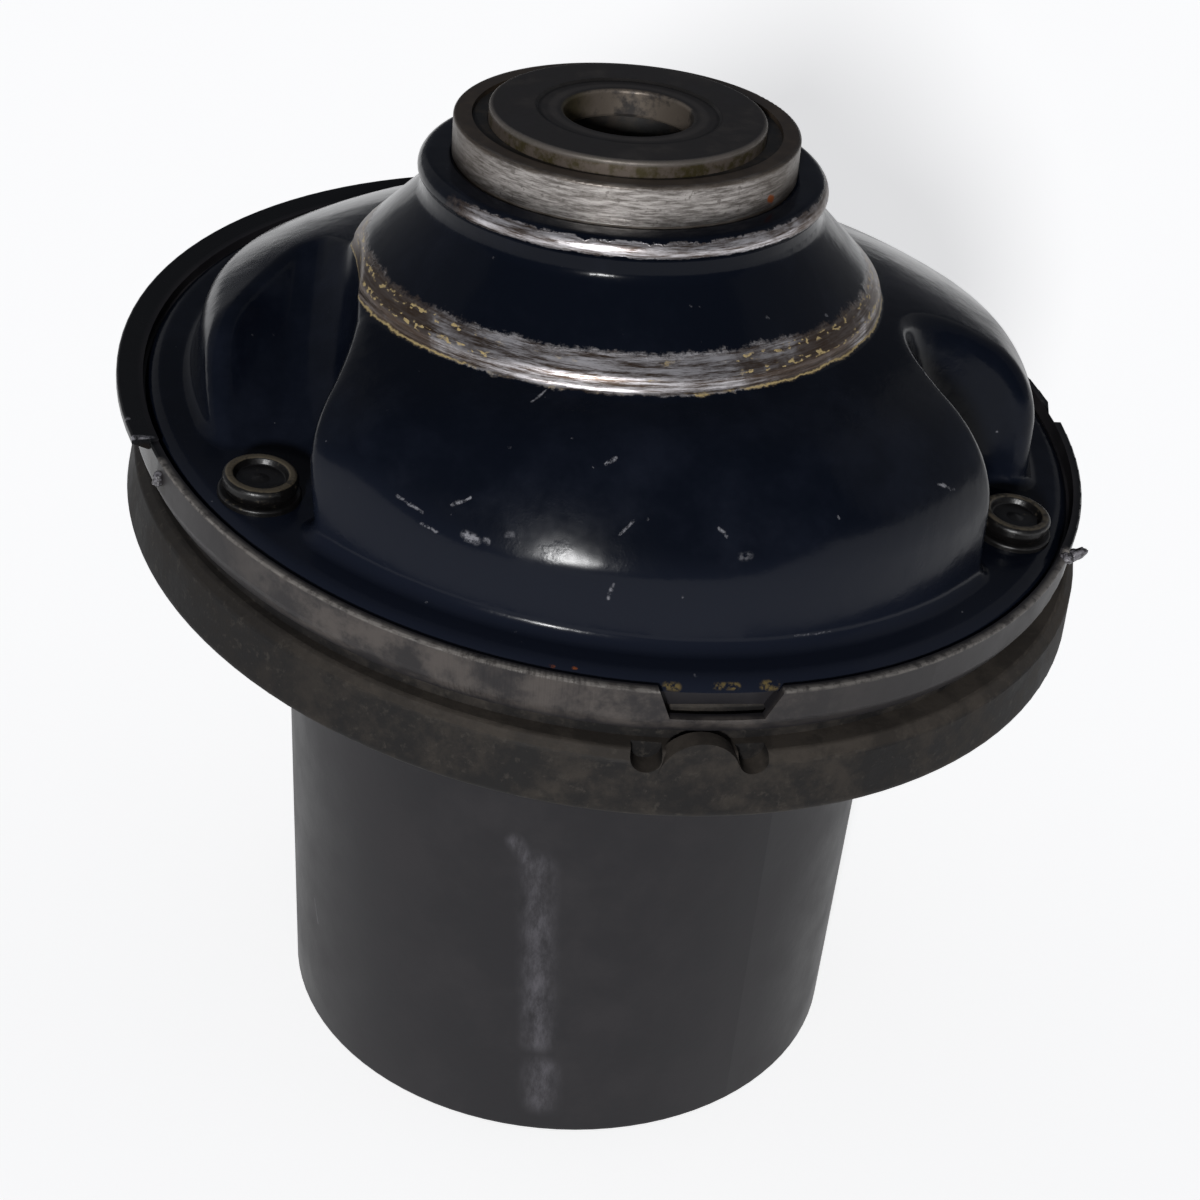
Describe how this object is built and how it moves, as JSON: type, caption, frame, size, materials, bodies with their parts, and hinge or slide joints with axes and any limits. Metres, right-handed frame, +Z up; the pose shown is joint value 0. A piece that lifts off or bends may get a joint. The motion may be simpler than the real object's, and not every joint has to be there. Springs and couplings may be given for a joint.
{
  "type": "strut top mount",
  "caption": "Suspension strut top mount: turning thrust bearing on a pressed spring seat with riveted flange, rubber spring pad ring and hanging dust tube.",
  "frame": {"origin": "middle of the rod bore in the bearing disc, on the strut's axis", "axes": "+Z up along the strut's axis, -Y towards the notched front of the flange"},
  "size_m": [0.1655, 0.1657, 0.17],
  "materials": {
    "disc_steel": "dark rolled steel, matte with worn edges",
    "ring_steel": "bare turned steel, dull and slightly oxidised",
    "seal_rubber": "black moulded rubber",
    "cage_plastic": "dark moulded plastic",
    "ball_steel": "polished bearing steel",
    "seat_coat": "glossy black dip coat with scratches and worn bands",
    "rivet_steel": "coated steel, worn to bronze on its rim",
    "tube_plastic": "dark grey moulded plastic, satin and scuffed",
    "pad_rubber": "dusty black rubber"
  },
  "bodies": {
    "seat": {"spring_seat": "seat_coat", "bearing_ring": "ring_steel", "bearing_seal_upper": "seal_rubber", "bearing_seal_lower": "seal_rubber", "rivets": "rivet_steel", "rivet_washers": "rivet_steel", "dust_tube": "tube_plastic", "spring_pad": "pad_rubber"},
    "disc": {"bearing_disc": "disc_steel"},
    "cage": {"ball_cage": "cage_plastic", "ball_01": "ball_steel", "ball_02": "ball_steel", "ball_03": "ball_steel", "ball_04": "ball_steel", "ball_05": "ball_steel", "ball_06": "ball_steel", "ball_07": "ball_steel", "ball_08": "ball_steel", "ball_09": "ball_steel", "ball_10": "ball_steel", "ball_11": "ball_steel", "ball_12": "ball_steel", "ball_13": "ball_steel", "ball_14": "ball_steel"}
  },
  "joints": [
    {"name": "disc_turn", "type": "hinge", "parent": "seat", "child": "disc", "pos_m": [0, 0, 0], "axis": [0, 0, 1], "continuous": true},
    {"name": "cage_turn", "type": "hinge", "parent": "seat", "child": "cage", "pos_m": [0, 0, 0], "axis": [0, 0, 1], "continuous": true}
  ],
  "couplings": [
    {"joint": "cage_turn", "follows": "disc_turn", "ratio": 0.5}
  ]
}
